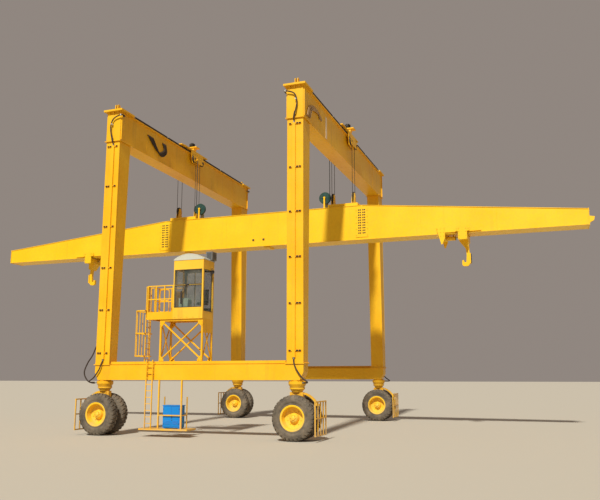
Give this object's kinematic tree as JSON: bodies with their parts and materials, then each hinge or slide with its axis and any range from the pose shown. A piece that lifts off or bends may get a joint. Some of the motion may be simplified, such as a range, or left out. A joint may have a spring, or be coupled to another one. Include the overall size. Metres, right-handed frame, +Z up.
{
  "type": "rubber tyred gantry crane",
  "caption": "Tall yellow mobile gantry crane on dual-tyred steered corners, with a very long hoisted spreader beam under two portal frames and an operator's cab on one side.",
  "frame": {"origin": "on the ground under the middle of the crane, all tyres on Z = 0", "axes": "+X along the spreader beam, +Y from the cab's side to the far side, +Z up"},
  "size_m": [34.1, 16.06, 16.37],
  "materials": {
    "yellow_paint": "semi-gloss, weathered",
    "tyre_rubber": "matte",
    "grey_steel": "satin",
    "cab_glass": "clear, lightly tinted",
    "white_paint": "satin",
    "dark_plastic": "matte",
    "console_paint": "satin",
    "blue_paint": "satin",
    "dark_steel": "greased, satin",
    "cable_rubber": "matte",
    "green_paint": "satin"
  },
  "bodies": {
    "gantry": {"legs": "yellow_paint", "leg_flanges": "yellow_paint", "cross_beams": "yellow_paint", "cap_lugs": "yellow_paint", "sills": "yellow_paint", "slew_flanges": "yellow_paint", "leg_ducts": "yellow_paint", "beam_fittings": "grey_steel", "cab_shell": "yellow_paint", "cab_glass": "cab_glass", "cab_door": "yellow_paint", "cab_roof": "white_paint", "roof_unit": "grey_steel", "seat": "dark_plastic", "console": "console_paint", "tower": "yellow_paint", "platform": "yellow_paint", "railing": "yellow_paint", "caged_ladder": "yellow_paint", "lower_ladder": "yellow_paint", "low_platform": "yellow_paint", "blue_box": "blue_paint", "hoses": "cable_rubber"},
    "trolleys": {"trolley_frames": "yellow_paint", "trolley_sheaves": "dark_steel", "trolley_motors": "dark_steel", "hoist_ropes": "dark_steel", "reel_cables": "cable_rubber"},
    "spreader": {"spreader_middle": "yellow_paint", "spreader_ends": "yellow_paint", "splices": "yellow_paint", "rope_blocks": "yellow_paint", "block_sheaves": "dark_steel", "reel_stands": "grey_steel", "hook_stops": "yellow_paint"},
    "hook_left": {"hook_left": "yellow_paint"},
    "hook_right": {"hook_right": "yellow_paint"},
    "reel_left": {"reel_left": "green_paint"},
    "reel_right": {"reel_right": "green_paint"},
    "yoke_nl": {"yoke_nl": "yellow_paint", "guard_nl": "yellow_paint"},
    "wheels_nl": {"rims_nl": "yellow_paint", "tyres_nl": "tyre_rubber"},
    "yoke_nr": {"yoke_nr": "yellow_paint", "guard_nr": "yellow_paint"},
    "wheels_nr": {"rims_nr": "yellow_paint", "tyres_nr": "tyre_rubber"},
    "yoke_fl": {"yoke_fl": "yellow_paint", "guard_fl": "yellow_paint"},
    "wheels_fl": {"rims_fl": "yellow_paint", "tyres_fl": "tyre_rubber"},
    "yoke_fr": {"yoke_fr": "yellow_paint", "guard_fr": "yellow_paint"},
    "wheels_fr": {"rims_fr": "yellow_paint", "tyres_fr": "tyre_rubber"}
  },
  "joints": [
    {"name": "steer_nl", "type": "hinge", "parent": "gantry", "child": "yoke_nl", "pos_m": [-4.7, -7.3, 2.15], "axis": [0, 0, 1], "range_deg": [-90, 90]},
    {"name": "steer_nr", "type": "hinge", "parent": "gantry", "child": "yoke_nr", "pos_m": [4.7, -7.3, 2.15], "axis": [0, 0, 1], "range_deg": [-90, 90]},
    {"name": "steer_fl", "type": "hinge", "parent": "gantry", "child": "yoke_fl", "pos_m": [-4.7, 7.3, 2.15], "axis": [0, 0, 1], "range_deg": [-90, 90]},
    {"name": "steer_fr", "type": "hinge", "parent": "gantry", "child": "yoke_fr", "pos_m": [4.7, 7.3, 2.15], "axis": [0, 0, 1], "range_deg": [-90, 90]},
    {"name": "roll_nl", "type": "hinge", "parent": "yoke_nl", "child": "wheels_nl", "pos_m": [-4.7, -7.3, 0.925], "axis": [0, 1, 0], "continuous": true},
    {"name": "roll_nr", "type": "hinge", "parent": "yoke_nr", "child": "wheels_nr", "pos_m": [4.7, -7.3, 0.925], "axis": [0, 1, 0], "continuous": true},
    {"name": "roll_fl", "type": "hinge", "parent": "yoke_fl", "child": "wheels_fl", "pos_m": [-4.7, 7.3, 0.925], "axis": [0, 1, 0], "continuous": true},
    {"name": "roll_fr", "type": "hinge", "parent": "yoke_fr", "child": "wheels_fr", "pos_m": [4.7, 7.3, 0.925], "axis": [0, 1, 0], "continuous": true},
    {"name": "traverse", "type": "slide", "parent": "gantry", "child": "trolleys", "axis": [0, 1, 0], "range_m": [-4.6, 4.6]},
    {"name": "hoist", "type": "slide", "parent": "trolleys", "child": "spreader", "axis": [0, 0, 1], "range_m": [-7.5, 1.2], "deforming": ["hoist_ropes", "reel_cables"]},
    {"name": "hook_slide_left", "type": "slide", "parent": "spreader", "child": "hook_left", "axis": [-1, 0, 0], "range_m": [0, 0.2]},
    {"name": "hook_slide_right", "type": "slide", "parent": "spreader", "child": "hook_right", "axis": [1, 0, 0], "range_m": [0, 0.2]},
    {"name": "reel_turn_left", "type": "hinge", "parent": "spreader", "child": "reel_left", "pos_m": [-3.75, -0.26, 12.04], "axis": [0, 1, 0], "continuous": true},
    {"name": "reel_turn_right", "type": "hinge", "parent": "spreader", "child": "reel_right", "pos_m": [3.75, -0.26, 12.04], "axis": [0, 1, 0], "continuous": true}
  ],
  "couplings": [
    {"joint": "reel_turn_left", "follows": "hoist", "rad_per_m": -3.8462},
    {"joint": "reel_turn_right", "follows": "hoist", "rad_per_m": 3.8462}
  ]
}
